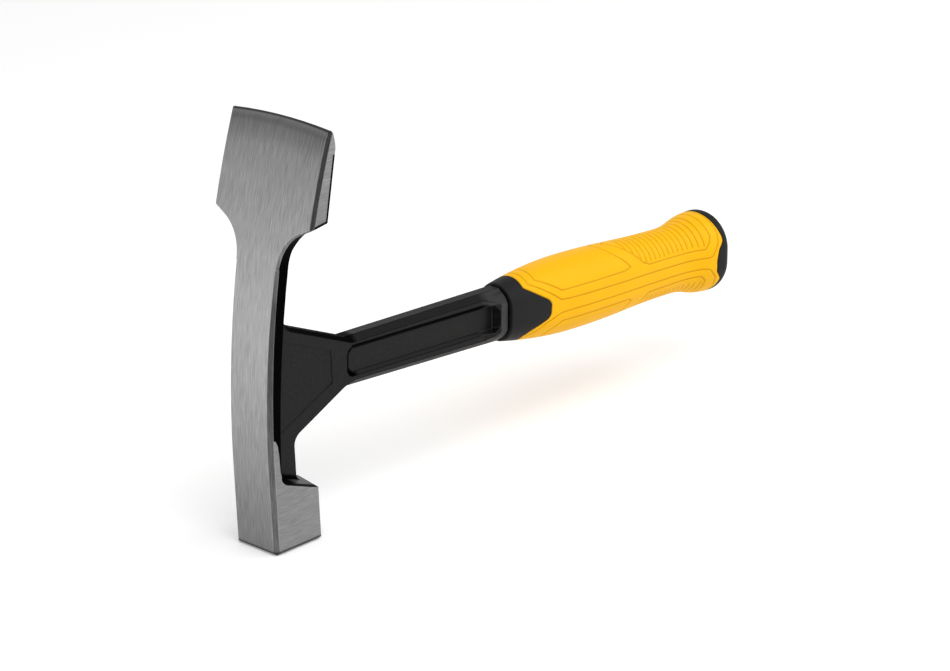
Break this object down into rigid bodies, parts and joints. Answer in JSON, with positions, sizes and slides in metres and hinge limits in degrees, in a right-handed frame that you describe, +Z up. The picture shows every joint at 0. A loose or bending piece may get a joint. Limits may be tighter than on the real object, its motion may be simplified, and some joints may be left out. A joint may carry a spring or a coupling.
{
  "type": "brick hammer",
  "caption": "Brick hammer forged in one piece, with a square striking poll, a wide curved chisel blade, a recessed shank and a two-colour moulded grip.",
  "frame": {"origin": "centre of the striking face, which lies on z = 0", "axes": "+Z up along the head towards the cutting edge, +X from the head along the handle, y = 0 the plane of symmetry"},
  "size_m": [0.2851, 0.0592, 0.1803],
  "materials": {
    "forged_steel": "ground bare on crown, blade and poll, black satin paint on web and shank",
    "hard_moulding": "fine matte texture",
    "soft_sleeve": "soft matte, engraved panel lines and ribs"
  },
  "bodies": {
    "root": {"forging": "forged_steel", "grip_core": "hard_moulding", "grip_sleeve": "soft_sleeve"}
  },
  "joints": []
}
